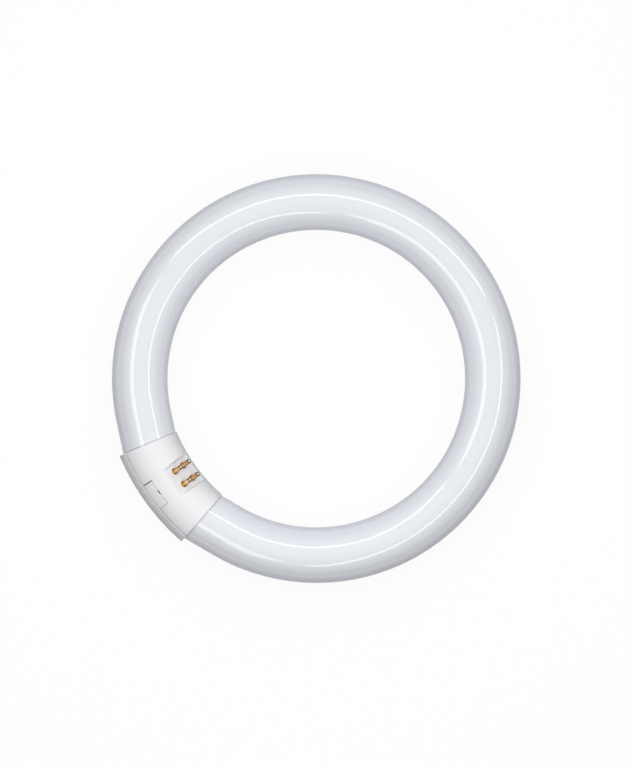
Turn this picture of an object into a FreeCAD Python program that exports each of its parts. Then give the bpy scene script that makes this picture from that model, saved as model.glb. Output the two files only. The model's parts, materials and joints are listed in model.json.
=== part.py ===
import FreeCAD, Part
import math
import os

# Circular fluorescent tube: a glass ring whose two ends sit in a moulded base with four contact pins.
# The ring lies flat, +Z is up, the base is on the -Y side and its pins lean up and towards the centre.
# All lengths are in millimetres and all angles in degrees.

# Glass ring
ring_r = 90.49               # radius of the tube's centreline
tube_d = 28.575              # outside diameter of the tube
rim_width = 2.2              # width of the fire-polished rim at each end of the glass
rim_bevel = 1.0              # its outer edge
funnel_depth = 12.0          # how far the flared end dips in to the pinched stem
press_r = 6.5                # radius of the pinched stem's face
stub_d = 4.2                 # diameter of the closed-off pumping tube
stub_length = 6.0            # how far the pumping tube stands out of the stem
stub_tip = 2.5               # length of its drawn-out tip

# Base, two half shells
base_length = 47.2           # length along its own axis
base_bend_r = 104.0          # radius that its axis is bent to, flatter than the ring
base_offset = 1.46           # its axis lies this far outside the ring's centreline at the middle
seat_depth = 6.0             # length of glass held in each end
seat_gap = 0.15              # clearance round the glass
end_gap = 0.3                # clearance between the glass rim and the rib that stops it
thin_wall = 0.6              # thinnest wall beside the glass
base_wall = 1.2              # least wall round the hollow between the two glass ends
stop_rib = 1.8               # thickness of the rib that stops each glass end
stop_lip = 0.5               # least height of that rib
back_proud = 0.35            # the back half stands this far proud of the front half
seam_angle = 40.0            # the halves part here, measured up from the outward direction
seam_gap = 0.12              # clearance between the halves
edge_bevel = 0.4             # bevel along the seams

# Snap tongues, one at each seam
tongue_length = 12.7
tongue_reach = 6.8           # how far a tongue reaches past the seam
tongue_root = 3.0            # how far it runs back into its own half
tongue_thick = 0.8
tongue_gap = 0.25            # clearance round it in its notch
catch_length = 7.0
catch_width = 0.9
catch_height = 0.45
catch_inset = 1.0            # from the tongue's tip to the catch
pry_width = 2.3              # notch in the tongue's tip for lifting it
pry_depth = 0.6
slit_width = 0.5             # slot through the front half at one end of the tongue

# Contact recess and pins
pin_lift = 52.0              # angle of the pins above the plane of the ring
recess_depth = 2.4           # below the round of the base, at the middle
recess_width = 15.4          # at its floor
recess_draft = 15.0          # its side walls lean outwards
recess_wall = 1.4            # side walls and floor of the recess
pin_pitch_along = 7.92       # between pins, along the base
pin_pitch_across = 6.35      # between pins, across the base
pin_d = 2.4
pin_length = 6.8             # from the recess floor to the tip
pin_tip_bevel = 0.45
bead_d = 1.3                 # solder bead on the tip
bead_top_d = 0.7
bead_height = 0.25
wire_hole_d = 0.9            # blind hole in the tail for the lead wire
wire_hole_top = 0.7          # its end, above the recess floor
collar_d = 3.3
collar_height = 0.7
tail_d = 2.1                 # where the pin passes through the floor
tail_gap = 0.05
rivet_d = 3.1                # the tail's spread end under the floor
rivet_height = 0.45

# Lead wires
wire_d = 0.7
wire_spread = 4.2            # each wire leaves the stem this far from the tube's axis
wire_drop = 6.5              # from the recess floor down to the wire's bend, in line with the pin
wire_bend_r = 2.5

Vector = FreeCAD.Vector
ORIGIN = Vector(0, 0, 0)
UP = Vector(0, 0, 1)
WELL_OUTSIDE = 3.0           # how far a cutting shape runs past the face that it cuts

# Worked-out sizes
tube_r = tube_d / 2
base_mid_r = ring_r + base_offset
base_centre = Vector(0, base_bend_r - base_mid_r, 0)
base_half_turn = math.degrees(base_length / 2 / base_bend_r)

# Each end of the glass is a straight leg, tangent to the ring, that crosses the base's axis in mid-seat.
seat_turn = (base_length - seat_depth) / 2 / base_bend_r
seat_x = base_bend_r * math.sin(seat_turn)
seat_y = base_centre.y - base_bend_r * math.cos(seat_turn)
seat_r = math.hypot(seat_x, seat_y)
leg_angle = math.degrees(math.atan2(seat_x, -seat_y) + math.acos(ring_r / seat_r))
leg_end = math.sqrt(seat_r ** 2 - ring_r ** 2) + seat_depth / 2
press = leg_end - funnel_depth         # the stem's face, along the leg
leg_lean = math.radians(leg_angle) - seat_turn
seat_swing = seat_depth / 2 * math.tan(leg_lean)

bore_r = tube_r + seat_gap
front_r = bore_r + seat_swing + thin_wall
back_r = front_r + back_proud
rib_r = bore_r - stop_lip
rib_end = leg_end + end_gap + stop_rib

# The hollow between the ribs is straight, so the bent base sags past it by this much.
hollow_reach = ring_r * math.sin(math.radians(leg_angle)) - rib_end * math.cos(math.radians(leg_angle))
hollow_sag = base_bend_r - math.sqrt(base_bend_r ** 2 - hollow_reach ** 2)
hollow_r = front_r - base_wall - hollow_sag / 2
tongue_r = front_r - tongue_thick
floor_height = front_r - recess_depth
contact_frame = FreeCAD.Placement(Vector(0, -base_mid_r, 0),
                                  FreeCAD.Rotation(Vector(1, 0, 0), pin_lift - 90))

# The lamp rests on its base, centred over the origin.
rest_shift = Vector(0, (base_mid_r + back_r - ring_r - tube_r) / 2, back_r)


def line(start, end):
    return Part.LineSegment(start, end).toShape()


def arc(start, middle, end):
    return Part.Arc(start, middle, end).toShape()


def degrees_along(length, radius):
    return math.degrees(length / radius)


# Glass


def leg_point(side, along, out=0.0, up=0.0):
    """A point beside a leg's axis: along it from the ring towards the base, out from the ring, and up."""
    turn = math.radians(leg_angle)
    start = Vector(side * math.sin(turn), -math.cos(turn), 0)
    forward = Vector(-side * math.cos(turn), -math.sin(turn), 0)
    return start * (ring_r + out) + forward * along + UP * up


def leg_axis(side):
    return leg_point(side, 1.0) - leg_point(side, 0.0)


def leg_rod(side, radius, start, end):
    """A round bar on a leg's axis."""
    return Part.makeCylinder(radius, end - start, leg_point(side, start), leg_axis(side))


def glass_leg(side):
    """A straight end of the tube, with its rim, its funnel, the stem's face and the pumping stub."""
    def at(along, radius):
        return leg_point(side, along, 0.0, radius)

    stub_r = stub_d / 2
    stub_end = press + stub_length
    corners = [at(0, 0), at(0, tube_r), at(leg_end - rim_bevel, tube_r),
               at(leg_end, tube_r - rim_bevel), at(leg_end, tube_r - rim_width),
               at(press, press_r), at(press, stub_r),
               at(stub_end - stub_tip, stub_r), at(stub_end, 0)]
    outline = Part.makePolygon(corners + corners[:1])
    return Part.Face(outline).revolve(leg_point(side, 0), leg_axis(side), 360)


def make_glass_tube():
    start = leg_point(1, 0)
    circle = Part.Wire(Part.Circle(start, leg_axis(1), tube_r).toShape())
    ring = Part.Face(circle).revolve(ORIGIN, UP, 360 - 2 * leg_angle)
    return ring.fuse([glass_leg(-1), glass_leg(1)]).removeSplitter()


# Base


def section_point(radius, angle):
    """A point of the base's middle section, by its distance from the axis and its angle from outward."""
    turn = math.radians(angle)
    return Vector(0, -base_mid_r - radius * math.cos(turn), radius * math.sin(turn))


def along_base(face, half_turn):
    """Sweep a section both ways along the base's bent axis."""
    start = face.copy()
    start.rotate(base_centre, UP, -half_turn)
    return start.revolve(base_centre, UP, 2 * half_turn)


def ring_sector(inner, outer, first, last):
    """A section between two radii and two angles."""
    middle = (first + last) / 2
    return Part.Face(Part.Wire([
        arc(section_point(inner, first), section_point(inner, middle), section_point(inner, last)),
        line(section_point(inner, last), section_point(outer, last)),
        arc(section_point(outer, last), section_point(outer, middle), section_point(outer, first)),
        line(section_point(outer, first), section_point(inner, first)),
    ]))


def half_section(radius, seam):
    """Half a round section on the far side of a seam at this angle, with its two corners bevelled."""
    across = math.radians(seam)

    def at(along, up):
        y = along * math.cos(across) - up * math.sin(across)
        z = along * math.sin(across) + up * math.cos(across)
        return Vector(0, -base_mid_r - y, z)

    chord = seam_gap / 2
    lift = chord + edge_bevel
    edge = math.sqrt(radius ** 2 - lift ** 2)
    inset = radius - edge_bevel
    return Part.Face(Part.Wire([
        line(at(-inset, chord), at(inset, chord)),
        line(at(inset, chord), at(edge, lift)),
        arc(at(edge, lift), at(0, radius), at(-edge, lift)),
        line(at(-edge, lift), at(-inset, chord)),
    ]))


def make_hollow():
    """The space inside the base: a straight hollow in the middle, and a way through each stop rib."""
    middle = Vector(-base_length / 2, hollow_sag / 2 - base_mid_r, 0)
    room = Part.makeCylinder(hollow_r, base_length, middle, Vector(1, 0, 0))
    for side in (-1, 1):
        room = room.cut(leg_rod(side, 2 * back_r, leg_end - base_length, rib_end))
    return room.fuse([leg_rod(side, rib_r, leg_end, rib_end + stop_rib) for side in (-1, 1)])


def glass_seats():
    start = leg_end - base_length / 2
    return [leg_rod(side, bore_r, start, leg_end + end_gap) for side in (-1, 1)]


def contact_trough(width, bottom):
    """A trough across the base, square to the pins, open at the top, with leaning side walls."""
    half = width / 2
    top = front_r + WELL_OUTSIDE
    flare = (top - bottom) * math.tan(math.radians(recess_draft))
    length = 2 * front_r
    corners = [Vector(-half, -length / 2, bottom), Vector(half, -length / 2, bottom),
               Vector(half + flare, -length / 2, top), Vector(-half - flare, -length / 2, top)]
    trough = Part.Face(Part.makePolygon(corners + corners[:1])).extrude(Vector(0, length, 0))
    trough.Placement = contact_frame
    return trough


def pin_places():
    """Where the pins stand in the recess: two by the left end of the glass, then two by the right."""
    half_along = pin_pitch_along / 2
    half_across = pin_pitch_across / 2
    return [Vector(side * half_along, row * half_across, 0) for side in (-1, 1) for row in (-1, 1)]


def tongue_sector(seam, toward, inner, outer, first, last, half_length):
    """A band across a seam, from one distance past it to another, on the side that toward gives."""
    starts = seam + toward * degrees_along(first, front_r)
    ends = seam + toward * degrees_along(last, front_r)
    face = ring_sector(inner, outer, min(starts, ends), max(starts, ends))
    return along_base(face, degrees_along(half_length, base_bend_r))


# The front half lies on the rising side of the first seam and the falling side of the second.
SEAMS = [(seam_angle, 1), (seam_angle + 180, -1)]
catch_start = tongue_reach - catch_inset - catch_width


def make_base_front():
    shell = along_base(half_section(front_r, seam_angle), base_half_turn)
    pocket = contact_trough(recess_width + 2 * recess_wall, floor_height - recess_wall)
    shell = shell.cut(make_hollow().cut(pocket))
    shell = shell.cut(glass_seats())
    shell = shell.cut(contact_trough(recess_width, floor_height))
    for place in pin_places():
        hole = Part.makeCylinder(tail_d / 2 + tail_gap, 2 * recess_wall,
                                 place + UP * (floor_height - 1.5 * recess_wall))
        hole.Placement = contact_frame.multiply(hole.Placement)
        shell = shell.cut(hole)
    inside = hollow_r - WELL_OUTSIDE
    outside = back_r + WELL_OUTSIDE
    for seam, toward in SEAMS:
        notch = tongue_sector(seam, toward, tongue_r - tongue_gap, outside,
                              -tongue_root, tongue_reach + tongue_gap, tongue_length / 2 + tongue_gap)
        window = tongue_sector(seam, toward, inside, outside, catch_start - tongue_gap,
                               catch_start + catch_width + tongue_gap, catch_length / 2 + tongue_gap)
        pry_hole = tongue_sector(seam, toward, inside, outside,
                                 catch_start, tongue_reach + tongue_gap, pry_width / 2)
        slit = tongue_sector(seam, toward, inside, outside, 0, tongue_reach, slit_width / 2)
        slit.rotate(base_centre, UP, -degrees_along((tongue_length + slit_width) / 2, base_bend_r))
        for opening in (notch, window, pry_hole, slit):
            shell = shell.cut(opening)
    return shell


def make_base_back():
    shell = along_base(half_section(back_r, seam_angle + 180), base_half_turn)
    shell = shell.cut(make_hollow())
    shell = shell.cut(glass_seats())
    for seam, toward in SEAMS:
        tongue = tongue_sector(seam, toward, tongue_r, front_r,
                               -tongue_root, tongue_reach, tongue_length / 2)
        catch = tongue_sector(seam, toward, tongue_r - catch_height, front_r - tongue_thick / 2,
                              catch_start, catch_start + catch_width, catch_length / 2)
        pry = tongue_sector(seam, toward, hollow_r, back_r + WELL_OUTSIDE,
                            tongue_reach - pry_depth, tongue_reach + WELL_OUTSIDE, pry_width / 2)
        shell = shell.fuse([tongue.cut(pry), catch])
    return shell


# Contacts


def turned(corners, place):
    """Turn an outline of radius and height about a pin's axis."""
    shape = Part.Face(Part.makePolygon(corners + corners[:1])).revolve(ORIGIN, UP, 360)
    shape.translate(place)
    shape.Placement = contact_frame.multiply(shape.Placement)
    return shape


def make_contact_pin(place):
    def at(radius, height):
        return Vector(radius, 0, floor_height + height)

    wire_hole_r = wire_hole_d / 2
    tail_r = tail_d / 2
    pin_r = pin_d / 2
    collar_r = collar_d / 2
    rivet_r = rivet_d / 2
    under = -recess_wall
    bottom = under - rivet_height
    bead_top = pin_length + bead_height
    corners = [at(wire_hole_r, bottom), at(rivet_r, bottom), at(rivet_r, under), at(tail_r, under),
               at(tail_r, 0), at(collar_r, 0), at(collar_r, collar_height), at(pin_r, collar_height),
               at(pin_r, pin_length - pin_tip_bevel), at(pin_r - pin_tip_bevel, pin_length),
               at(bead_d / 2, pin_length), at(bead_top_d / 2, bead_top), at(0, bead_top),
               at(0, wire_hole_top), at(wire_hole_r, wire_hole_top)]
    return turned(corners, place)


def rounded_path(points, radius):
    """Straight runs joined by tangent arcs."""
    edges = []
    start = points[0]
    for before, corner, after in zip(points, points[1:], points[2:]):
        way_in = (corner - before).normalize()
        way_out = (after - corner).normalize()
        half = way_in.getAngle(way_out) / 2
        inwards = (way_out - way_in).normalize()
        tangent = radius * math.tan(half)
        first = corner - way_in * tangent
        middle = corner + inwards * (radius / math.cos(half) - radius)
        last = corner + way_out * tangent
        edges += [line(start, first), arc(first, middle, last)]
        start = last
    return Part.Wire(edges + [line(start, points[-1])])


def make_lead_wire(place):
    """From the stem to under the pin, then up into the hole in the pin's tail."""
    side = 1 if place.x > 0 else -1
    out = -wire_spread if place.y > 0 else wire_spread

    def over_floor(height):
        return contact_frame.multVec(place + UP * (floor_height + height))

    stem = leg_point(side, press, out)
    bend = over_floor(-wire_drop)
    start = stem + (stem - bend).normalize() * wire_d
    path = rounded_path([start, bend, over_floor(wire_hole_top)], wire_bend_r)
    end = Part.Wire(Part.Circle(start, bend - start, wire_d / 2).toShape())
    wire = path.makePipeShell([end], True, False)
    return wire.cut(leg_rod(side, press_r, press - WELL_OUTSIDE, press))


def save(name, shape):
    solid = shape.copy()
    solid.translate(rest_shift)
    solid.exportStep(os.path.join("parts", name + ".step"))
    print(name, "solids", len(solid.Solids), "valid", solid.isValid(), "volume", round(solid.Volume, 2))


os.makedirs("parts", exist_ok=True)
save("glass_tube", make_glass_tube())
save("base_front", make_base_front())
save("base_back", make_base_back())
for number, pin_place in enumerate(pin_places(), 1):
    save("contact_pin_%d" % number, make_contact_pin(pin_place))
    save("lead_wire_%d" % number, make_lead_wire(pin_place))
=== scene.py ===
"""Circular fluorescent tube: the looks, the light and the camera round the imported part."""
import json
import math

import bmesh
import bpy
from bpy.props import FloatProperty, FloatVectorProperty, IntProperty, PointerProperty
from bpy.types import Operator, Panel, PropertyGroup
from mathutils import Matrix, Vector


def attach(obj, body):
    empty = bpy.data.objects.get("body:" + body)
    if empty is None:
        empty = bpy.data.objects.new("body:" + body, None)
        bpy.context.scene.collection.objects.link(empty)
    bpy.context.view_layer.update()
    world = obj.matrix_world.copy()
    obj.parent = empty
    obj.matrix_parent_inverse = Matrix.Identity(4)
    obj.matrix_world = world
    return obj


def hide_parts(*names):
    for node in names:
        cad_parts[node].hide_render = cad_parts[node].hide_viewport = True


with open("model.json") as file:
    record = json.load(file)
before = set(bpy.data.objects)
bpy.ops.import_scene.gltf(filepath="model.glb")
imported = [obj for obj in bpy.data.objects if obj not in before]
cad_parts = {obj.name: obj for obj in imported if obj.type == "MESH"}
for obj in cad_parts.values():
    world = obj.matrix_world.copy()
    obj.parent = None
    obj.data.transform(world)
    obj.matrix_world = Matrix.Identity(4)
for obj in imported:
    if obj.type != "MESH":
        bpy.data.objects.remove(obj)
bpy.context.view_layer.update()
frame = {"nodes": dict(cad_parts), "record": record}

bl_info = {
    "name": "Circular Fluorescent Tube",
    "version": (1, 0, 0),
    "blender": (4, 5, 0),
    "location": "3D View > Sidebar > Lamp",
    "description": "Makes the glass ring, the base, the contacts and the stage of a circular lamp",
    "category": "Object",
}

BODY = "root"
BASE_HALVES = ("base_front", "base_back")
PINS = tuple("contact_pin_%d" % number for number in range(1, 5))
WIRES = tuple("lead_wire_%d" % number for number in range(1, 5))
PUNCH = "punch"
WHITE = (1.0, 1.0, 1.0, 1.0)
IMAGE_HEIGHT = 768
SENSOR = 36.0
THIRD_TURN = 2 * math.pi / 3
DISC_SHARE = math.pi / 4
MILLIMETRE = 0.001
RING_RADIUS = 0.09049
COLLAR_HEIGHT = 0.0007

# Places and sizes that the part's mounts give: each pin's is at the middle of its shaft
MOUNTS = {mount["name"]: mount for mount in frame["record"]["mounts"]}
TUBE_PLACE = Vector(MOUNTS["tube_grip"]["pos_m"])
PIN_PLACES = [Vector(MOUNTS["pin_%d" % number]["pos_m"]) for number in range(1, 5)]
PIN_AXIS = Vector(MOUNTS["pin_1"]["axis"])
PIN_RADIUS = MOUNTS["pin_1"]["dims"]["r_mm"] * MILLIMETRE
SHAFT_LENGTH = MOUNTS["pin_1"]["dims"]["length_mm"] * MILLIMETRE
PIN_LIFT = math.degrees(math.atan2(PIN_AXIS.z, PIN_AXIS.y))
PINS_MIDDLE = sum(PIN_PLACES, Vector()) / len(PIN_PLACES)
RECESS_FLOOR = PINS_MIDDLE - PIN_AXIS * (COLLAR_HEIGHT + SHAFT_LENGTH / 2)

# Points nearer than these, in metres, become one
BASE_MERGE = 2e-6
GLASS_MERGE = 0.00002
GLASS_END_MERGE = 0.0003

# Faces along a rounded edge of an outline
ROUND_STEPS = 6
COLLAR_STEPS = 4

# Waves to a metre in the finishes
POWDER_CLOUDS = 34.0
POWDER_GRAIN = 1900.0
GLASS_SMEARS = 70.0
GLASS_RIPPLE = 55.0
PLASTIC_FLOW = 45.0
PLASTIC_GRAIN = 2600.0
TURNING_MARKS = 900.0
TARNISH_PATCHES = 620.0
SOLDER_SKIN = 1500.0

# How the finishes are mixed
CLOUD_SHARE = 0.7
# How fast the painted shade at the glass tube's edges grows
EDGE_SHADE_FALLOFF = 3.0
TARNISH_GAIN = 1.2
TARNISH_CUT = 0.55
PUNCH_ROUGHNESS = 0.3
CRIMP_FALLOFF = 1.5


def length(name, description, default):
    """A size in metres."""
    return FloatProperty(name=name, description=description, default=default, unit="LENGTH", precision=5)


def angle(name, description, default):
    """An angle, given in degrees."""
    return FloatProperty(name=name, description=description, default=math.radians(default), subtype="ANGLE")


def amount(name, description, default):
    """A plain number."""
    return FloatProperty(name=name, description=description, default=default)


def count(name, description, default):
    """A whole number."""
    return IntProperty(name=name, description=description, default=default)


def colour(name, description, default):
    """A colour."""
    return FloatVectorProperty(name=name, description=description, default=default, size=3,
                               subtype="COLOR", min=0.0, max=1.0)


class LampGlass(PropertyGroup):
    """Sizes of the glass ring."""

    ring_radius: length("Ring Radius", "Centre of the ring to the middle of the tube", RING_RADIUS)
    tube_radius: length("Tube Radius", "Outside radius of the tube", 0.0142875)
    leg_angle: angle("Leg Angle", "Base's middle to where the ring ends and a leg starts", 23.926)
    leg_length: length("Leg Length", "Length of each straight leg", 0.020759)
    rim_width: length("Rim Width", "Width of the rim at each end", 0.0022)
    rim_bevel: length("Rim Bevel", "Outer edge of the rim", 0.001)
    funnel_depth: length("Funnel Depth", "Rim to the stem's face", 0.012)
    stem_radius: length("Stem Radius", "Radius of the stem's face", 0.0065)
    stub_radius: length("Stub Radius", "Radius of the closed pumping tube", 0.0021)
    stub_length: length("Stub Length", "Length of the closed pumping tube", 0.006)
    stub_tip: length("Stub Tip", "Length of its drawn-out end", 0.0025)
    ring_offset: length("Ring Offset", "Ring's middle from the origin, away from the base",
                        TUBE_PLACE.y - RING_RADIUS)
    ring_rise: length("Ring Rise", "Ring's middle over the floor", TUBE_PLACE.z)
    waviness: length("Waviness", "How far the bent glass strays from a true ring", 0.00022)
    wave_scale: amount("Wave Scale", "Waves to a metre", 14.0)
    true_to: length("True To", "Along Y from the ring's middle, where the true glass ends", -0.074)
    wavy_from: length("Wavy From", "Along Y from the ring's middle, where the glass is fully wavy", -0.035)
    ring_steps: count("Ring Steps", "Faces along the ring", 320)
    leg_steps: count("Leg Steps", "Faces along each stretch of a leg", 6)
    tube_sides: count("Tube Sides", "Faces round the tube", 96)
    smooth_angle: angle("Smooth Angle", "Faces that meet at less than this are shaded as one", 30.0)


class LampBase(PropertyGroup):
    """Sizes that the finish of the moulded base follows."""

    bend_radius: length("Bend Radius", "Radius that the base is bent to", 0.104)
    offset: length("Offset", "Middle of the base outside the middle of the tube", 0.00146)
    half_length: length("Half Length", "Half the length along the bent middle", 0.0236)
    seam_angle: angle("Seam Angle", "Where the halves part, from straight out", 40.0)
    # The darker line along the seam is grime and painted shade
    seam_width: length("Seam Width", "Half the width of the dusty line at the seam", 0.0009)
    seam_darkening: amount("Seam Dust", "Share of dust in that line", 0.8)
    # Width of the painted shadow on the glass where it enters the base
    seat_shadow_width: length("Seat Width", "Width of the dark line where the glass enters", 0.0007)
    smooth_angle: angle("Smooth Angle", "Faces that meet at less than this are shaded as one", 24.0)


class LampPins(PropertyGroup):
    """Sizes of the contact pins."""

    lift: angle("Lift", "Lean of the pins over the floor", PIN_LIFT)
    floor_place: FloatVectorProperty(name="Place", description="Middle of the recess floor", size=3,
                                     default=tuple(RECESS_FLOOR), subtype="TRANSLATION")
    pitch_along: length("Pitch Along", "Between pins along the base",
                        (PIN_PLACES[2] - PIN_PLACES[0]).length)
    pitch_across: length("Pitch Across", "Between pins across the base",
                         (PIN_PLACES[1] - PIN_PLACES[0]).length)
    radius: length("Radius", "Radius of a pin", PIN_RADIUS)
    height: length("Height", "Recess floor to the tip", 0.0068)
    tip_round: length("Tip Round", "Rounding of the tip", 0.00045)
    collar_radius: length("Collar Radius", "Radius of the collar", 0.00165)
    collar_height: length("Collar Height", "Height of the collar", COLLAR_HEIGHT)
    collar_round: length("Collar Round", "Rounding of the collar", 0.0002)
    tail_radius: length("Tail Radius", "Radius where the pin passes through the floor", 0.00105)
    floor_wall: length("Floor Wall", "Thickness of the recess floor", 0.0014)
    rivet_radius: length("Rivet Radius", "Radius of the spread tail", 0.00155)
    rivet_height: length("Rivet Height", "Thickness of the spread tail", 0.00045)
    hole_radius: length("Hole Radius", "Radius of the hole for the wire", 0.00045)
    hole_top: length("Hole Top", "End of that hole over the floor", 0.0007)
    bead_radius: length("Bead Radius", "Radius of the solder bead", 0.00065)
    bead_height: length("Bead Height", "Height of the solder bead", 0.00025)
    bead_sink: length("Bead Sink", "How far the bead reaches into the tip", 0.0001)
    crimp_radius: length("Crimp Radius", "Radius of the punched crimp mark", 0.00065)
    crimp_depth: length("Crimp Depth", "Depth of the crimp mark", 0.00028)
    crimp_height: length("Crimp Height", "Recess floor to the crimp mark", 0.0050)
    turn_each: angle("Turn Each", "Turn from one pin to the next about its own axis", 125.0)
    facing_pin: count("Facing Pin", "The pin whose crimp mark faces up", 2)
    sides: count("Sides", "Faces round a pin", 48)
    shaft_rows: count("Shaft Rows", "Faces along a pin's shaft", 28)
    smooth_angle: angle("Smooth Angle", "Faces that meet at less than this are shaded as one", 40.0)


class LampColours(PropertyGroup):
    """Colours of the finishes and the floor."""

    powder: colour("Powder", "White powder coat behind the glass", (0.79, 0.80, 0.828))
    powder_shade: colour("Powder Shade", "Thinner powder", (0.765, 0.78, 0.812))
    # Partly glass seen along its wall, partly painted shade darkening the tube's edges
    glass_wall_and_edge_shade: colour("Glass Edge", "Glass that is looked at along its wall", (0.33, 0.34, 0.56))
    plastic: colour("Plastic", "Moulded base", (0.82, 0.815, 0.815))
    plastic_shade: colour("Plastic Shade", "Flow marks in the moulding", (0.79, 0.785, 0.79))
    # Grime and painted shade along the base's seam, and the painted shadow on the glass where it enters the
    # base
    dust_and_shade: colour("Dust", "Dust and shadow in the seams", (0.45, 0.445, 0.455))
    brass: colour("Brass", "Pins", (0.88, 0.58, 0.28))
    # Dark brass: patches of patina, the painted shade at the pins' tips, and the tint of their gloss
    brass_dark: colour("Dark Brass", "Tarnish on the pins", (0.13, 0.06, 0.018))
    # Bare brass in the crimp mark, painted paler as a highlight
    bare_brass_highlight: colour("Bare Brass", "Brass laid bare by the punch", (0.98, 0.86, 0.66))
    tin: colour("Tin", "Solder and wire", (0.95, 0.89, 0.78))
    tin_dark: colour("Dark Tin", "Dull solder", (0.78, 0.73, 0.65))
    floor: colour("Floor", "Floor as it shows", (0.92, 0.92, 0.92))
    floor_bounce: colour("Floor Bounce", "Floor as it lights the lamp from below", (0.11, 0.11, 0.115))


class LampStage(PropertyGroup):
    """Camera, light and floor."""

    camera_distance: length("Camera Distance", "Camera over the ring", 2.0)
    pixel: FloatProperty(name="Pixel", description="Metres to a pixel at the ring", default=0.0005125,
                         precision=7)
    roll: angle("Roll", "Turn of the camera about its view", 54.1)
    aim_right: amount("Aim Right", "Ring's middle to the picture's, in pixels", -0.3)
    aim_down: amount("Aim Down", "Ring's middle to the picture's, in pixels", 5.4)
    clip_end: length("Clip End", "How far the camera sees", 50.0)
    strip_height: length("Strip Height", "Strip lights over the ring", 1.2)
    strip_lean: angle("Strip Lean", "Middle of a strip light, from straight up", 31.0)
    strip_turn: angle("Strip Turn", "Where the first strip light stands", 137.4)
    sky: amount("Sky", "Soft light from all round", 0.15)
    sky_colour: colour("Sky Colour", "Cool grey of the room", (0.82, 0.87, 1.0))
    ceiling: amount("Ceiling", "Radiance of the panel that gloss reflects", 0.35)
    ceiling_height: length("Ceiling Height", "That panel over the ring", 1.45)
    ceiling_reach: length("Ceiling Reach", "How far off that panel still shows", 6.0)
    card: amount("Card", "Radiance of the card beyond the base", 2.2)
    card_width: length("Card Width", "Width of the card", 0.3)
    card_height: length("Card Height", "Height of the card", 0.2)
    card_away: length("Card Away", "Card from the origin", 0.42)
    card_reach: length("Card Reach", "How far off the card still shows", 0.40)
    fill: amount("Fill", "Radiance of the soft box beyond the picture's top", 0.66)
    fill_turn: angle("Fill Turn", "Way to the soft box, from the picture's right", 80.0)
    fill_away: length("Fill Away", "Ring to the soft box, along the floor", 2.2)
    fill_rise: length("Fill Rise", "Middle of the soft box over the ring", 1.3)
    fill_width: length("Fill Width", "Width of the soft box", 6.4)
    fill_height: length("Fill Height", "Height of the soft box", 2.2)
    overhead: amount("Overhead", "Radiance of the round panel overhead", 2.12)
    overhead_height: length("Overhead Height", "Round panel over the ring", 0.58)
    overhead_lean: angle("Overhead Lean", "Edge of the round panel, from straight up", 29.0)
    floor_size: length("Floor Size", "Half the floor's side", 6.0)
    floor_glow: amount("Floor Glow", "Share of the floor that shows as plain white", 0.93)


# Each strip light's name, width in metres, radiance and share of its side left dark, in turn about the ring
STRIPS = (
    ("strip_top", 0.17, 2.8, 0.13),
    ("strip_left", 0.36, 2.1, 0.27),
    ("strip_right", 0.15, 2.9, 0.16),
)


class Value:
    """An output socket that can stand in a sum."""

    def __init__(self, nodes, socket):
        self.nodes = nodes
        self.socket = socket

    def maths(self, operation, first, second=None):
        sockets = {0: first} if second is None else {0: first, 1: second}
        return self.nodes.add("ShaderNodeMath", {"operation": operation}, sockets)

    def __add__(self, other):
        return self.maths("ADD", self, other)

    def __radd__(self, other):
        return self.maths("ADD", other, self)

    def __sub__(self, other):
        return self.maths("SUBTRACT", self, other)

    def __rsub__(self, other):
        return self.maths("SUBTRACT", other, self)

    def __mul__(self, other):
        return self.maths("MULTIPLY", self, other)

    def __rmul__(self, other):
        return self.maths("MULTIPLY", other, self)

    def __truediv__(self, other):
        return self.maths("DIVIDE", self, other)

    def __pow__(self, other):
        return self.maths("POWER", self, other)

    def __neg__(self):
        return self.maths("MULTIPLY", self, -1.0)

    def sine(self):
        return self.maths("SINE", self)

    def cosine(self):
        return self.maths("COSINE", self)

    def size(self):
        return self.maths("ABSOLUTE", self)

    def larger(self, other):
        return self.maths("MAXIMUM", self, other)

    def below(self, other):
        return self.maths("LESS_THAN", self, other)


class Nodes:
    """Adds nodes to one tree."""

    def __init__(self, tree):
        self.tree = tree
        tree.nodes.clear()

    def add(self, kind, settings=None, sockets=None, out=0):
        """A node with its settings and the values or links of its sockets; gives one output."""
        node = self.tree.nodes.new(kind)
        for name, value in (settings or {}).items():
            setattr(node, name, value)
        for name, value in (sockets or {}).items():
            for one in value if isinstance(value, list) else [value]:
                if isinstance(one, Value):
                    self.tree.links.new(one.socket, node.inputs[name])
                else:
                    node.inputs[name].default_value = one
        return Value(self, node.outputs[out]) if len(node.outputs) else node

    def other(self, value, out):
        """Another output of the node that a value comes from."""
        return Value(self, value.socket.node.outputs[out])

    def blend(self, factor, first, second):
        """A colour between two colours."""
        colours = [shade if isinstance(shade, Value) else (*shade, 1.0) for shade in (first, second)]
        return self.add("ShaderNodeMix", {"data_type": "RGBA"},
                        {"Factor": factor, 6: colours[0], 7: colours[1]}, 2)

    def vector(self, x, y, z):
        """A vector of three parts."""
        return self.add("ShaderNodeCombineXYZ", None, {"X": x, "Y": y, "Z": z})

    def split(self, vector):
        """The three parts of a vector."""
        x = self.add("ShaderNodeSeparateXYZ", None, {"Vector": vector}, "X")
        return x, self.other(x, "Y"), self.other(x, "Z")


def new_material(name):
    """A material with an empty node tree."""
    material = bpy.data.materials.new(name)
    material.use_nodes = True
    return material, Nodes(material.node_tree)


def finish_material(nodes, surface):
    """Lead a shader to the material's output."""
    nodes.add("ShaderNodeOutputMaterial", None, {"Surface": surface})


def between(factor, low, high):
    """A number that goes from low to high with a factor."""
    return low + factor * (high - low)


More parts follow.
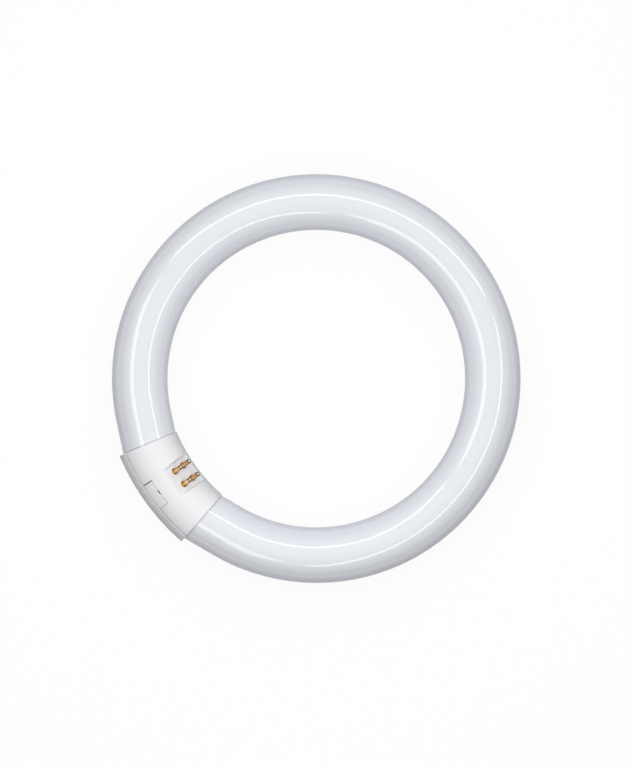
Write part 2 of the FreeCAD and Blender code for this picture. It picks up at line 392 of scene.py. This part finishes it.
def noise(nodes, coords, scale, detail, roughness=0.5):
    """Smooth random waves, so many to a metre."""
    return nodes.add("ShaderNodeTexNoise", None,
                     {"Vector": coords, "Scale": scale, "Detail": detail, "Roughness": roughness}, "Fac")


def object_coords(nodes):
    """A point's place on the object, in metres."""
    return nodes.add("ShaderNodeTexCoord", None, None, "Object")


def bend_middle(glass, base):
    """How far the middle of the base's bend lies from the origin, away from the base."""
    return glass.ring_offset + base.bend_radius - glass.ring_radius - base.offset


def coated_glass(shades, glass, base):
    """Clear glass over white powder: bright, glossy, with faint clouds in the powder, painted shade towards
    the tube's edges and a painted shadow where it enters the base.
    """
    material, nodes = new_material("coated_glass")
    place = object_coords(nodes)
    clouds = noise(nodes, place, POWDER_CLOUDS, detail=3.0)
    grain = noise(nodes, place, POWDER_GRAIN, detail=1.0)
    thin = clouds * CLOUD_SHARE + grain * (1.0 - CLOUD_SHARE)
    smears = noise(nodes, place, GLASS_SMEARS, detail=4.0, roughness=0.6)
    ripple = noise(nodes, place, GLASS_RIPPLE, detail=1.0)
    bump = nodes.add("ShaderNodeBump", None, {"Strength": 0.10, "Distance": 0.0006, "Height": ripple})
    # Painted shade: partly the look of glass seen along its wall, partly painted shade, the colour turns
    # darker and bluer towards the tube's edges
    along_wall_shade = nodes.add("ShaderNodeLayerWeight", None, {"Blend": 0.5}, "Facing") ** EDGE_SHADE_FALLOFF
    # Painted shadow: the glass is painted dark in a thin line just outside each end of the base, where it
    # enters its seat
    half_turn = base.half_length / base.bend_radius
    x, y = nodes.split(place)[:2]
    past_base = x.size() * math.cos(half_turn) + (y - bend_middle(glass, base)) * math.sin(half_turn)
    seat_shadow = (1.0 - past_base / base.seat_shadow_width).larger(0.0)
    tint = nodes.blend(thin, shades.powder, shades.powder_shade)
    tint = nodes.blend(along_wall_shade, tint, shades.glass_wall_and_edge_shade)
    surface = nodes.add("ShaderNodeBsdfPrincipled", None, {
        "Base Color": nodes.blend(seat_shadow, tint, shades.dust_and_shade),
        "Roughness": between(smears, 0.035, 0.085),
        "IOR": 1.75,
        "Normal": bump,
    })
    finish_material(nodes, surface)
    return material


def moulded_plastic(shades, glass, base):
    """White moulded plastic with a fine satin grain, and a darker line of grime and painted shade along the
    seam.
    """
    material, nodes = new_material("moulded_plastic")
    place = object_coords(nodes)
    flow = noise(nodes, place, PLASTIC_FLOW, detail=3.0)
    grain = noise(nodes, place, PLASTIC_GRAIN, detail=2.0, roughness=0.6)
    bump = nodes.add("ShaderNodeBump", None, {"Strength": 0.12, "Distance": 0.00005, "Height": grain})
    # Grime and painted shade: the plastic is painted darker in a thin line along the seam where the halves
    # meet
    x, y, z = nodes.split(place)
    y = y - bend_middle(glass, base)
    out = (x * x + y * y) ** 0.5 - base.bend_radius
    off_seam = (z - glass.ring_rise) * math.cos(base.seam_angle) - out * math.sin(base.seam_angle)
    dusty_shaded_seam = (1.0 - off_seam.size() / base.seam_width).larger(0.0)
    tint = nodes.blend(flow, shades.plastic, shades.plastic_shade)
    surface = nodes.add("ShaderNodeBsdfPrincipled", None, {
        "Base Color": nodes.blend(dusty_shaded_seam * base.seam_darkening, tint, shades.dust_and_shade),
        "Roughness": between(grain, 0.62, 0.74),
        "IOR": 1.42,
        "Sheen Weight": 0.7,
        "Sheen Roughness": 0.35,
        "Normal": bump,
    })
    finish_material(nodes, surface)
    return material


def turned_brass(shades, sizes):
    """Brass with turning marks round each pin, patches of dark patina, painted shade at its tip, and a bare
    punch mark painted paler as a highlight.
    """
    material, nodes = new_material("turned_brass")
    place = object_coords(nodes)
    upright = nodes.add("ShaderNodeMapping", None, {
        "Vector": nodes.add("ShaderNodeVectorMath", {"operation": "SUBTRACT"},
                            {0: place, 1: tuple(sizes.floor_place)}),
        "Rotation": (math.pi / 2 - sizes.lift, 0.0, 0.0)})
    rings = nodes.add("ShaderNodeTexWave", {"bands_direction": "Z", "wave_type": "BANDS"},
                      {"Vector": upright, "Scale": TURNING_MARKS, "Distortion": 1.5}, "Fac")
    patches = noise(nodes, place, TARNISH_PATCHES, detail=4.0, roughness=0.62)
    height = nodes.split(upright)[2]
    # Painted shade: each pin's rounded tip is painted dark brass, on top of the patches of patina
    tip = nodes.add("ShaderNodeMapRange", None, {
        "Value": height, "From Min": sizes.height - sizes.tip_round, "From Max": sizes.height}, "Result")
    tarnish_and_tip_shade = tip.larger(patches * TARNISH_GAIN - TARNISH_CUT)
    # Partly real, partly painted highlight: the crimp mark is bare brass, painted paler and brighter for
    # the glint in its hollow
    punch = nodes.add("ShaderNodeAttribute", {"attribute_name": PUNCH}, None, "Fac")
    bump = nodes.add("ShaderNodeBump", None, {"Strength": 0.10, "Distance": 0.00003, "Height": rings})
    metal = nodes.blend(tarnish_and_tip_shade, shades.brass, shades.brass_dark)
    surface = nodes.add("ShaderNodeBsdfPrincipled", None, {
        "Base Color": nodes.blend(punch, metal, shades.bare_brass_highlight),
        "Roughness": between(patches, 0.18, 0.32) + punch * PUNCH_ROUGHNESS,
        "Metallic": 1.0,
        "Specular Tint": (*shades.brass_dark, 1.0),
        "Normal": bump,
    })
    finish_material(nodes, surface)
    return material


def tinned_solder(shades):
    """Dull solder with a wrinkled skin."""
    material, nodes = new_material("tinned_solder")
    place = object_coords(nodes)
    skin = noise(nodes, place, SOLDER_SKIN, detail=3.0, roughness=0.6)
    bump = nodes.add("ShaderNodeBump", None, {"Strength": 0.15, "Distance": 0.00004, "Height": skin})
    surface = nodes.add("ShaderNodeBsdfPrincipled", None, {
        "Base Color": nodes.blend(skin, shades.tin, shades.tin_dark),
        "Roughness": between(skin, 0.24, 0.44),
        "Metallic": 0.3,
        "Normal": bump,
    })
    finish_material(nodes, surface)
    return material


def new_object(name, mesh):
    """An object with this mesh, in the scene."""
    piece = bpy.data.objects.new(name, mesh)
    bpy.context.scene.collection.objects.link(piece)
    return piece


def new_tree(name, inputs):
    """An empty node tree for a geometry modifier; gives it, its nodes and its inputs by name."""
    tree = bpy.data.node_groups.new(name, "GeometryNodeTree")
    for label, kind in inputs:
        tree.interface.new_socket(label, in_out="INPUT", socket_type=kind)
    tree.interface.new_socket("Geometry", in_out="OUTPUT", socket_type="NodeSocketGeometry")
    nodes = Nodes(tree)
    given = nodes.add("NodeGroupInput")
    return tree, nodes, {label: nodes.other(given, label) for label, kind in inputs}


def plain_piece(name, tree, values):
    """Run a geometry tree with these inputs and keep what it makes as a plain mesh."""
    maker = new_object(name + "_maker", bpy.data.meshes.new(name + "_maker"))
    modifier = maker.modifiers.new("tree", "NODES")
    modifier.node_group = tree
    labels = {item.name: item.identifier for item in tree.interface.items_tree if item.in_out == "INPUT"}
    for label, value in values.items():
        modifier[labels[label]] = value
    depsgraph = bpy.context.evaluated_depsgraph_get()
    mesh = bpy.data.meshes.new_from_object(maker.evaluated_get(depsgraph), depsgraph=depsgraph)
    maker.modifiers.remove(modifier)
    bpy.data.objects.remove(maker)
    mesh.name = name
    return new_object(name, mesh)


def leg_stretches(given):
    """The outline of one glass leg as stretches: start, start radius, end radius, length, and facing in."""
    tube = given["Tube Radius"]
    end = given["Leg Length"]
    rim_outer = tube - given["Rim Bevel"]
    rim_inner = tube - given["Rim Width"]
    press = end - given["Funnel Depth"]
    straight = end - given["Rim Bevel"]
    stub_side = given["Stub Length"] - given["Stub Tip"]
    return [
        (0.0, tube, tube, straight, False),
        (straight, tube, rim_outer, given["Rim Bevel"], False),
        (end, rim_outer, rim_inner, 0.0, False),
        (press, given["Stem Radius"], rim_inner, given["Funnel Depth"], True),
        (press, given["Stem Radius"], given["Stub Radius"], 0.0, False),
        (press, given["Stub Radius"], given["Stub Radius"], stub_side, False),
        (press + stub_side, given["Stub Radius"], 0.0, given["Stub Tip"], False),
    ]


def glass_tree():
    """The bent tube: an arc swept by a circle, with a straight leg, a funnel and a stub at each end."""
    sizes = ["Ring Radius", "Tube Radius", "Leg Angle", "Leg Length", "Rim Width", "Rim Bevel",
             "Funnel Depth", "Stem Radius", "Stub Radius", "Stub Length", "Stub Tip", "Ring Offset",
             "Ring Rise", "Waviness", "Wave Scale", "True To", "Wavy From"]
    counts = ["Ring Steps", "Leg Steps", "Tube Sides"]
    inputs = [(label, "NodeSocketFloat") for label in sizes]
    inputs += [(label, "NodeSocketInt") for label in counts]
    inputs += [("Finish", "NodeSocketMaterial")]
    tree, nodes, given = new_tree("bent_glass", inputs)

    turn = given["Leg Angle"]
    sweep = 2 * math.pi - 2.0 * turn
    arc = nodes.add("GeometryNodeCurveArc", {"mode": "RADIUS"}, {
        "Resolution": given["Ring Steps"], "Radius": given["Ring Radius"],
        "Start Angle": turn - math.pi / 2, "Sweep Angle": sweep})
    circle = nodes.add("GeometryNodeCurvePrimitiveCircle", {"mode": "RADIUS"},
                       {"Resolution": given["Tube Sides"], "Radius": given["Tube Radius"]})
    ring = nodes.add("GeometryNodeCurveToMesh", None, {"Curve": arc, "Profile Curve": circle})

    stretches = []
    for start, first, last, run, facing_in in leg_stretches(given):
        cone = nodes.add("GeometryNodeMeshCone", {"fill_type": "NONE"}, {
            "Vertices": given["Tube Sides"], "Side Segments": given["Leg Steps"],
            "Radius Bottom": first, "Radius Top": last, "Depth": run})
        if facing_in:
            cone = nodes.add("GeometryNodeFlipFaces", None, {"Mesh": cone})
        stretches.append(nodes.add("GeometryNodeTransform", None, {
            "Geometry": cone, "Translation": nodes.vector(0.0, 0.0, start)}))
    leg = nodes.add("GeometryNodeJoinGeometry", None, {"Geometry": stretches})

    away = given["Ring Radius"] * turn.sine()
    back = -(given["Ring Radius"] * turn.cosine())
    legs = []
    for side, heading in ((1.0, turn + math.pi), (-1.0, -turn)):
        legs.append(nodes.add("GeometryNodeTransform", None, {
            "Geometry": leg, "Translation": nodes.vector(away * side, back, 0.0),
            "Rotation": nodes.vector(0.0, math.pi / 2, heading)}))
    whole = nodes.add("GeometryNodeJoinGeometry", None, {"Geometry": [ring] + legs})
    whole = nodes.add("GeometryNodeMergeByDistance", None, {"Geometry": whole, "Distance": GLASS_MERGE})
    faces = nodes.add("GeometryNodeInputMeshEdgeNeighbors", None, None, "Face Count")
    whole = nodes.add("GeometryNodeMergeByDistance", None, {
        "Geometry": whole, "Selection": faces.below(2.0), "Distance": GLASS_END_MERGE})

    place = nodes.add("GeometryNodeInputPosition")
    side_on = nodes.add("ShaderNodeSeparateXYZ", None, {"Vector": place}, "Y")
    free = nodes.add("ShaderNodeMapRange", {"interpolation_type": "SMOOTHSTEP"},
                     {"Value": side_on, "From Min": given["True To"], "From Max": given["Wavy From"]})
    waves = noise(nodes, place, given["Wave Scale"], detail=1.0)
    stray = (waves - 0.5) * 2.0 * given["Waviness"] * free
    push = nodes.add("ShaderNodeVectorMath", {"operation": "SCALE"},
                     {0: nodes.add("GeometryNodeInputNormal"), "Scale": stray})
    whole = nodes.add("GeometryNodeSetPosition", None, {"Geometry": whole, "Offset": push})
    whole = nodes.add("GeometryNodeTransform", None, {
        "Geometry": whole, "Translation": nodes.vector(0.0, given["Ring Offset"], given["Ring Rise"])})
    whole = nodes.add("GeometryNodeSetShadeSmooth", None, {"Geometry": whole})
    whole = nodes.add("GeometryNodeRealizeInstances", None, {"Geometry": whole})
    whole = nodes.add("GeometryNodeSetMaterial", None, {"Geometry": whole, "Material": given["Finish"]})
    nodes.add("NodeGroupOutput", None, {"Geometry": whole})
    return tree


def contacts_tree():
    """Sets one turned piece on each of the places in the recess."""
    inputs = [("Piece", "NodeSocketObject"), ("Pitch Along", "NodeSocketFloat"),
              ("Pitch Across", "NodeSocketFloat"), ("Lift", "NodeSocketFloat"),
              ("Turn Each", "NodeSocketFloat"), ("Facing Pin", "NodeSocketFloat"),
              ("Place", "NodeSocketVector"), ("Finish", "NodeSocketMaterial")]
    tree, nodes, given = new_tree("contact_places", inputs)
    grid = nodes.add("GeometryNodeMeshGrid", None, {
        "Size X": given["Pitch Along"], "Size Y": given["Pitch Across"], "Vertices X": 2, "Vertices Y": 2})
    piece = nodes.add("GeometryNodeObjectInfo", None,
                      {"Object": given["Piece"], "As Instance": True}, "Geometry")
    turn = (nodes.add("GeometryNodeInputIndex") - given["Facing Pin"]) * given["Turn Each"]
    placed = nodes.add("GeometryNodeInstanceOnPoints", None, {
        "Points": grid, "Instance": piece, "Rotation": nodes.vector(0.0, 0.0, turn)})
    placed = nodes.add("GeometryNodeTransform", None, {
        "Geometry": placed, "Translation": given["Place"],
        "Rotation": nodes.vector(given["Lift"] - math.pi / 2, 0.0, 0.0)})
    placed = nodes.add("GeometryNodeRealizeInstances", None, {"Geometry": placed})
    placed = nodes.add("GeometryNodeSetMaterial", None, {"Geometry": placed, "Material": given["Finish"]})
    nodes.add("NodeGroupOutput", None, {"Geometry": placed})
    return tree


def quarter(centre_radius, centre_height, across, up, steps):
    """Points of a rounded edge of an outline, from its side to its top."""
    turns = [math.radians(90 * step / steps) for step in range(steps + 1)]
    return [(centre_radius + across * math.cos(turn), centre_height + up * math.sin(turn))
            for turn in turns]


def turned_mesh(name, outline, sides):
    """Turn an outline of radius and height, which starts and ends on the axis, about that axis."""
    mesh = bpy.data.meshes.new(name)
    bm = bmesh.new()
    turns = [2 * math.pi * side / sides for side in range(sides)]
    first = bm.verts.new((0.0, 0.0, outline[0][1]))
    rings = [[bm.verts.new((radius * math.cos(turn), radius * math.sin(turn), height)) for turn in turns]
             for radius, height in outline[1:-1]]
    last = bm.verts.new((0.0, 0.0, outline[-1][1]))
    for side in range(sides):
        after = (side + 1) % sides
        bm.faces.new((first, rings[0][after], rings[0][side]))
        for before, beyond in zip(rings, rings[1:]):
            bm.faces.new((before[side], before[after], beyond[after], beyond[side]))
        bm.faces.new((rings[-1][side], rings[-1][after], last))
    bm.to_mesh(mesh)
    bm.free()
    return mesh


def smooth_by_angle(mesh, limit):
    """Shade the mesh smooth, except across edges sharper than the limit."""
    bm = bmesh.new()
    bm.from_mesh(mesh)
    for face in bm.faces:
        face.smooth = True
    for edge in bm.edges:
        edge.smooth = len(edge.link_faces) == 2 and edge.calc_face_angle(0.0) < limit
    bm.to_mesh(mesh)
    bm.free()


def pin_outline(sizes):
    """Half the section of a pin: tail, collar, shaft and rounded tip, over the recess floor."""
    under = -sizes.floor_wall
    bottom = under - sizes.rivet_height
    edge = sizes.collar_round
    shaft_end = sizes.height - sizes.tip_round
    shaft_length = shaft_end - sizes.collar_height
    tip = sizes.tip_round
    outline = [(0.0, sizes.hole_top), (sizes.hole_radius, sizes.hole_top), (sizes.hole_radius, bottom),
               (sizes.rivet_radius, bottom), (sizes.rivet_radius, under), (sizes.tail_radius, under),
               (sizes.tail_radius, 0.0), (sizes.collar_radius, 0.0)]
    outline += quarter(sizes.collar_radius - edge, sizes.collar_height - edge, edge, edge, COLLAR_STEPS)
    outline += [(sizes.radius, sizes.collar_height + shaft_length * row / sizes.shaft_rows)
                for row in range(sizes.shaft_rows)]
    outline += quarter(sizes.radius - tip, shaft_end, tip, tip, ROUND_STEPS)
    return outline + [(0.0, sizes.height)]


def bead_outline(sizes):
    """Half the section of the solder bead, a low dome that reaches a little into the pin's tip."""
    bottom = sizes.height - sizes.bead_sink
    outline = [(0.0, bottom), (sizes.bead_radius, bottom)]
    return outline + quarter(0.0, sizes.height, sizes.bead_radius, sizes.bead_height, ROUND_STEPS)


def press_crimp(mesh, sizes):
    """Push in the round crimp mark on one side of the pin, and note how deep each point went."""
    centre = Vector((0.0, -sizes.radius, sizes.crimp_height))
    punch = mesh.attributes.new(PUNCH, "FLOAT", "POINT")
    for vertex in mesh.vertices:
        near = (vertex.co - centre).length / sizes.crimp_radius
        if near < 1.0:
            depth = (1.0 - near ** 2) ** CRIMP_FALLOFF
            flat = Vector((vertex.co.x, vertex.co.y, 0.0))
            vertex.co -= flat.normalized() * depth * sizes.crimp_depth
            punch.data[vertex.index].value = depth


class LAMP_OT_glass_tube(Operator):
    """Make the bent glass tube with its finish"""

    bl_idname = "lamp.glass_tube"
    bl_label = "Glass Tube"

    def execute(self, context):
        sizes = context.scene.lamp_glass
        values = {
            "Ring Radius": sizes.ring_radius, "Tube Radius": sizes.tube_radius,
            "Leg Angle": sizes.leg_angle, "Leg Length": sizes.leg_length,
            "Rim Width": sizes.rim_width, "Rim Bevel": sizes.rim_bevel,
            "Funnel Depth": sizes.funnel_depth, "Stem Radius": sizes.stem_radius,
            "Stub Radius": sizes.stub_radius, "Stub Length": sizes.stub_length, "Stub Tip": sizes.stub_tip,
            "Ring Offset": sizes.ring_offset, "Ring Rise": sizes.ring_rise,
            "Waviness": sizes.waviness, "Wave Scale": sizes.wave_scale,
            "True To": sizes.true_to, "Wavy From": sizes.wavy_from,
            "Ring Steps": sizes.ring_steps, "Leg Steps": sizes.leg_steps, "Tube Sides": sizes.tube_sides,
            "Finish": coated_glass(context.scene.lamp_colours, sizes, context.scene.lamp_base),
        }
        tube = plain_piece("glass_ring", glass_tree(), values)
        smooth_by_angle(tube.data, sizes.smooth_angle)
        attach(tube, BODY)
        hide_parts("glass_tube")
        return {"FINISHED"}


class LAMP_OT_base_halves(Operator):
    """Make the two moulded halves of the base with their finish"""

    bl_idname = "lamp.base_halves"
    bl_label = "Base Halves"

    def execute(self, context):
        sizes = context.scene.lamp_base
        finish = moulded_plastic(context.scene.lamp_colours, context.scene.lamp_glass, sizes)
        for node in BASE_HALVES:
            half = new_object(node + "_moulding", self.joined_mesh(node, sizes))
            half.data.materials.clear()
            half.data.materials.append(finish)
            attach(half, BODY)
            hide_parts(node)
        return {"FINISHED"}

    @staticmethod
    def joined_mesh(node, sizes):
        """A copy of the half's mesh, its loose faces joined up and shaded smooth across gentle edges."""
        mesh = frame["nodes"][node].data.copy()
        bm = bmesh.new()
        bm.from_mesh(mesh)
        bmesh.ops.remove_doubles(bm, verts=bm.verts, dist=BASE_MERGE)
        bm.to_mesh(mesh)
        bm.free()
        if "custom_normal" in mesh.attributes:
            mesh.attributes.remove(mesh.attributes["custom_normal"])
        smooth_by_angle(mesh, sizes.smooth_angle)
        return mesh


class LAMP_OT_contact_pins(Operator):
    """Make the contact pins and the solder on their tips"""

    bl_idname = "lamp.contact_pins"
    bl_label = "Contact Pins"

    def execute(self, context):
        sizes = context.scene.lamp_pins
        shades = context.scene.lamp_colours
        pin = turned_mesh("turned_pin", pin_outline(sizes), sizes.sides)
        press_crimp(pin, sizes)
        bead = turned_mesh("solder_bead", bead_outline(sizes), sizes.sides // 2)
        tree = contacts_tree()
        for name, mesh, finish, slot in (
                ("contact_pins", pin, turned_brass(shades, sizes), "pin_brass"),
                ("solder_beads", bead, tinned_solder(shades), "tinned_wire")):
            smooth_by_angle(mesh, sizes.smooth_angle)
            source = new_object(name + "_source", mesh)
            placed = plain_piece(name, tree, {
                "Piece": source, "Pitch Along": sizes.pitch_along, "Pitch Across": sizes.pitch_across,
                "Lift": sizes.lift, "Turn Each": sizes.turn_each, "Facing Pin": float(sizes.facing_pin),
                "Place": tuple(sizes.floor_place), "Finish": finish})
            bpy.data.objects.remove(source)
            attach(placed, BODY)
            if name == "contact_pins":
                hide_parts(*PINS)
        return {"FINISHED"}


class LAMP_OT_lead_wires(Operator):
    """Give the lead wires inside the base their finish"""

    bl_idname = "lamp.lead_wires"
    bl_label = "Lead Wires"

    def execute(self, context):
        finish = tinned_solder(context.scene.lamp_colours)
        for node in WIRES:
            wire = frame["nodes"][node]
            wire.data.materials.clear()
            wire.data.materials.append(finish)
        return {"FINISHED"}


class LAMP_OT_stage(Operator):
    """Set up the floor, the lights and the camera"""

    bl_idname = "lamp.stage"
    bl_label = "Stage"

    def execute(self, context):
        scene = context.scene
        stage = scene.lamp_stage
        glass = scene.lamp_glass
        middle = Vector((0.0, glass.ring_offset, glass.ring_rise))
        scene.view_settings.view_transform = "Standard"
        self.make_sky(scene, stage)
        self.make_floor(stage, scene.lamp_colours)
        self.make_strips(stage, middle)
        self.make_ceiling(stage, middle)
        self.make_card(stage)
        self.make_fill(stage, middle)
        self.make_overhead(stage, middle)
        self.make_camera(scene, stage, middle)
        return {"FINISHED"}

    @staticmethod
    def make_sky(scene, stage):
        """Soft grey light from all round."""
        world = bpy.data.worlds.new("studio")
        world.use_nodes = True
        nodes = Nodes(world.node_tree)
        light = nodes.add("ShaderNodeBackground", None,
                          {"Color": (*stage.sky_colour, 1.0), "Strength": stage.sky})
        nodes.add("ShaderNodeOutputWorld", None, {"Surface": light})
        scene.world = world

    @staticmethod
    def make_floor(stage, shades):
        """A pale floor that shows as plain white and keeps the shadow."""
        mesh = bpy.data.meshes.new("floor")
        half = stage.floor_size
        corners = [(-half, -half, 0), (half, -half, 0), (half, half, 0), (-half, half, 0)]
        mesh.from_pydata(corners, [], [tuple(range(len(corners)))])
        material, nodes = new_material("pale_floor")
        seen = seen_directly(nodes)
        paint = nodes.add("ShaderNodeBsdfDiffuse", None,
                          {"Color": nodes.blend(seen, shades.floor_bounce, shades.floor)})
        white = nodes.add("ShaderNodeEmission", None, {"Color": WHITE, "Strength": 1.0})
        finish_material(nodes, nodes.add("ShaderNodeMixShader", None,
                                         {0: seen * stage.floor_glow, 1: paint, 2: white}))
        material.cycles.emission_sampling = "NONE"
        mesh.materials.append(material)
        new_object("floor", mesh)

    @staticmethod
    def make_strips(stage, middle):
        """Three long strip lights in a triangle round the camera's view."""
        reach = stage.strip_height * math.tan(stage.strip_lean)
        side = 2 * math.sqrt(3) * reach
        for number, (name, width, radiance, gap) in enumerate(STRIPS):
            turn = stage.strip_turn + number * THIRD_TURN
            out = Vector((math.cos(turn), math.sin(turn), 0.0))
            place = middle + out * reach + Vector((0.0, 0.0, stage.strip_height))
            add_area(name, place, middle, turn, side * (1.0 - gap), width, radiance)

    @staticmethod
    def make_ceiling(stage, middle):
        """A dim panel between the strip lights, which only gloss shows."""
        reach = 2 * stage.ceiling_height * math.tan(stage.strip_lean)
        corners = []
        for number in range(len(STRIPS)):
            turn = stage.strip_turn - (number + 0.5) * THIRD_TURN
            corner = Vector((reach * math.cos(turn), reach * math.sin(turn), stage.ceiling_height))
            corners.append(middle + corner)
        add_card("ceiling", corners, stage.ceiling, stage.ceiling_reach)

    @staticmethod
    def make_card(stage):
        """An upright white card beyond the base, which only gloss shows."""
        half = stage.card_width / 2
        away = -stage.card_away
        top = stage.card_height
        corners = [(half, away, 0.0), (-half, away, 0.0), (-half, away, top), (half, away, top)]
        add_card("card", corners, stage.card, stage.card_reach)

    @staticmethod
    def make_fill(stage, middle):
        """A large soft box beyond the picture's top, which gloss doesn't show."""
        turn = stage.roll + stage.fill_turn
        out = Vector((math.cos(turn), math.sin(turn), 0.0))
        place = middle + out * stage.fill_away + Vector((0.0, 0.0, stage.fill_rise))
        box = add_area("soft_box", place, middle, turn, stage.fill_width, stage.fill_height, stage.fill)
        box.visible_glossy = False

    @staticmethod
    def make_overhead(stage, middle):
        """A round soft panel over the ring, which neither the camera nor gloss shows."""
        width = 2 * stage.overhead_height * math.tan(stage.overhead_lean)
        place = middle + Vector((0.0, 0.0, stage.overhead_height))
        panel = add_area("soft_top", place, middle, 0.0, width, width, stage.overhead * DISC_SHARE)
        panel.data.shape = "DISK"
        panel.visible_glossy = False
        panel.visible_camera = False

    @staticmethod
    def make_camera(scene, stage, middle):
        """A camera that looks straight down on the ring."""
        data = bpy.data.cameras.new("camera")
        data.sensor_width = SENSOR
        data.lens = SENSOR * stage.camera_distance / (IMAGE_HEIGHT * stage.pixel)
        data.clip_end = stage.clip_end
        camera = bpy.data.objects.new("camera", data)
        scene.collection.objects.link(camera)
        right = Vector((math.cos(stage.roll), math.sin(stage.roll), 0.0))
        up = Vector((-math.sin(stage.roll), math.cos(stage.roll), 0.0))
        aim = middle + right * stage.aim_right * stage.pixel - up * stage.aim_down * stage.pixel
        camera.location = aim + Vector((0.0, 0.0, stage.camera_distance))
        camera.rotation_euler = (0.0, 0.0, stage.roll)
        scene.camera = camera


def add_card(name, corners, radiance, reach):
    """A bright flat panel that shows in gloss up to this far away, and lights nothing else."""
    mesh = bpy.data.meshes.new(name)
    mesh.from_pydata(corners, [], [tuple(range(len(corners)))])
    material, nodes = new_material(name + "_white")
    away = nodes.add("ShaderNodeLightPath", None, None, "Ray Length")
    near = away.below(reach)
    finish_material(nodes, nodes.add("ShaderNodeEmission", None,
                                     {"Color": WHITE, "Strength": near * radiance}))
    material.cycles.emission_sampling = "NONE"
    mesh.materials.append(material)
    panel = new_object(name, mesh)
    panel.visible_camera = False
    panel.visible_diffuse = False
    panel.visible_shadow = False


def seen_directly(nodes):
    """One where the camera, a reflection or a view through glass meets the surface."""
    path = nodes.add("ShaderNodeLightPath", None, None, "Is Camera Ray")
    glossy = nodes.other(path, "Is Glossy Ray")
    through = nodes.other(path, "Is Transmission Ray")
    return path.larger(glossy).larger(through)


def add_area(name, place, aim, turn, side, width, radiance):
    """A rectangular light of this radiance, with its long side square to the way in to the ring."""
    data = bpy.data.lights.new(name, "AREA")
    data.shape = "RECTANGLE"
    data.size = side
    data.size_y = width
    data.energy = radiance * math.pi * side * width
    back = (place - aim).normalized()
    along = Vector((-math.sin(turn), math.cos(turn), 0.0))
    light = bpy.data.objects.new(name, data)
    light.matrix_world = Matrix((along, back.cross(along), back)).transposed().to_4x4()
    light.location = place
    bpy.context.scene.collection.objects.link(light)
    return light


class LAMP_PT_pieces(Panel):
    """Lists the pieces of the lamp"""

    bl_label = "Circular Lamp"
    bl_idname = "LAMP_PT_pieces"
    bl_space_type = "VIEW_3D"
    bl_region_type = "UI"
    bl_category = "Lamp"

    def draw(self, context):
        for operator in OPERATORS:
            self.layout.operator(operator.bl_idname)


GROUPS = {
    "lamp_glass": LampGlass,
    "lamp_base": LampBase,
    "lamp_pins": LampPins,
    "lamp_colours": LampColours,
    "lamp_stage": LampStage,
}
OPERATORS = (
    LAMP_OT_glass_tube,
    LAMP_OT_base_halves,
    LAMP_OT_contact_pins,
    LAMP_OT_lead_wires,
    LAMP_OT_stage,
)


def register():
    for kind in (*GROUPS.values(), *OPERATORS, LAMP_PT_pieces):
        bpy.utils.register_class(kind)
    for name, group in GROUPS.items():
        setattr(bpy.types.Scene, name, PointerProperty(type=group))


def unregister():
    for name in GROUPS:
        delattr(bpy.types.Scene, name)
    for kind in (LAMP_PT_pieces, *reversed(OPERATORS), *GROUPS.values()):
        bpy.utils.unregister_class(kind)


def main():
    """Make the lamp and its stage."""
    register()
    bpy.ops.lamp.glass_tube()
    bpy.ops.lamp.base_halves()
    bpy.ops.lamp.contact_pins()
    bpy.ops.lamp.lead_wires()
    bpy.ops.lamp.stage()


if __name__ == "__main__":
    main()
